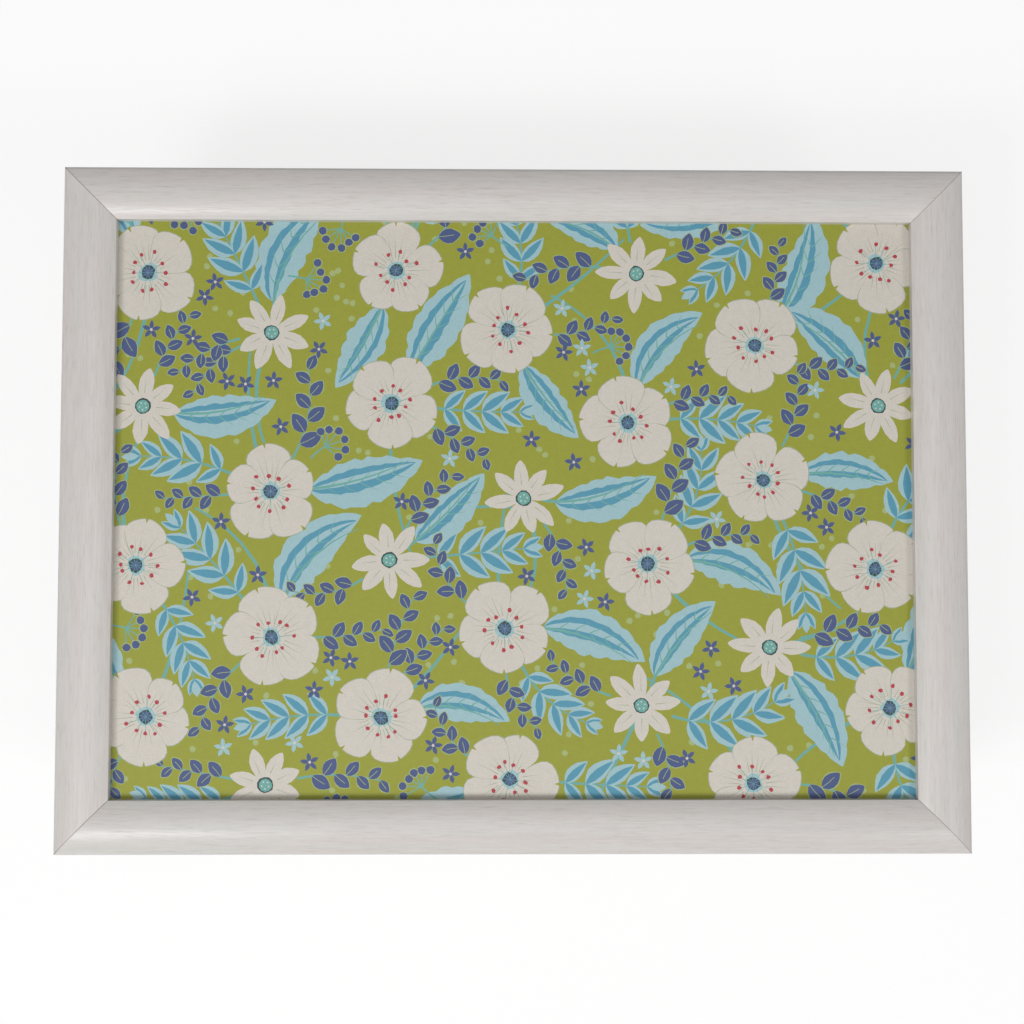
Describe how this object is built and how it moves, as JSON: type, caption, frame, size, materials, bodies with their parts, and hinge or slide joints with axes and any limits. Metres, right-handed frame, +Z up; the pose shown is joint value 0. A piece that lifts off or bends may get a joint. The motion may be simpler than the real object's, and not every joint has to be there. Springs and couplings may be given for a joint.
{
  "type": "lap desk with lift lid",
  "caption": "Lap desk: a mitred frame round a printed writing board, hinged as a lid over a shallow wooden box with bays and a folding stay, on a bead-filled cushion.",
  "frame": {"origin": "on the ground under the middle of the lid, where the cushion rests", "axes": "+X to the user's right along the lid's long side, +Y away from the user to the hinges, +Z up"},
  "size_m": [0.43, 0.325, 0.1082],
  "materials": {
    "frame_foil": "satin",
    "print": "satin",
    "box_wood": "satin",
    "ply": "satin",
    "steel": "satin",
    "nickel": "polished",
    "brass": "satin",
    "felt": "matte",
    "bumper": "satin",
    "tape": "matte",
    "cotton": "matte"
  },
  "bodies": {
    "base": {"stay_wall_rivet": "steel", "stay_wall_screws": "steel", "stay_wall_bracket": "steel", "front_wall": "box_wood", "back_wall": "box_wood", "left_wall": "box_wood", "right_wall": "box_wood", "wall_dowels": "ply", "bottom_board": "ply", "long_divider": "ply", "short_divider": "ply", "paper_bay_felt": "felt", "keepsake_bay_felt": "felt", "pen_tray_felt": "felt", "hinge_left_box_leaf": "brass", "hinge_right_box_leaf": "brass", "hinge_left_pin": "brass", "hinge_right_pin": "brass", "hinge_box_screws": "brass", "catch_magnets": "nickel", "rim_bumpers": "bumper", "hook_strips": "tape", "loop_strips": "tape", "cushion": "cotton"},
    "lid": {"lid_rail_front": "frame_foil", "lid_rail_back": "frame_foil", "lid_rail_left": "frame_foil", "lid_rail_right": "frame_foil", "lid_corner_nails": "steel", "print_laminate": "print", "writing_board": "ply", "lid_lining": "ply", "glazing_points": "steel", "hinge_left_lid_leaf": "brass", "hinge_right_lid_leaf": "brass", "hinge_lid_screws": "brass", "catch_discs": "steel", "stay_lid_bracket": "steel", "stay_lid_screws": "steel", "stay_lid_rivet": "steel"},
    "stay_lower": {"stay_lower_arm": "steel", "stay_elbow_rivet": "steel"},
    "stay_upper": {"stay_upper_arm": "steel"}
  },
  "joints": [
    {"name": "lid_hinge", "type": "hinge", "parent": "base", "child": "lid", "pos_m": [0, 0.1575, 0.0896], "axis": [-1, 0, 0], "range_deg": [0, 100]},
    {"name": "stay_wall_pivot", "type": "hinge", "parent": "base", "child": "stay_lower", "pos_m": [0.19375, 0.0975, 0.0726], "axis": [-1, 0, 0], "range_deg": [0, 100]},
    {"name": "stay_lid_pivot", "type": "hinge", "parent": "lid", "child": "stay_upper", "pos_m": [0.19175, 0.0275, 0.0826], "axis": [1, 0, 0], "range_deg": [0, 100]}
  ],
  "couplings": [
    {"joint": "stay_wall_pivot", "follows": "lid_hinge", "ratio": 1},
    {"joint": "stay_lid_pivot", "follows": "lid_hinge", "ratio": 1}
  ]
}
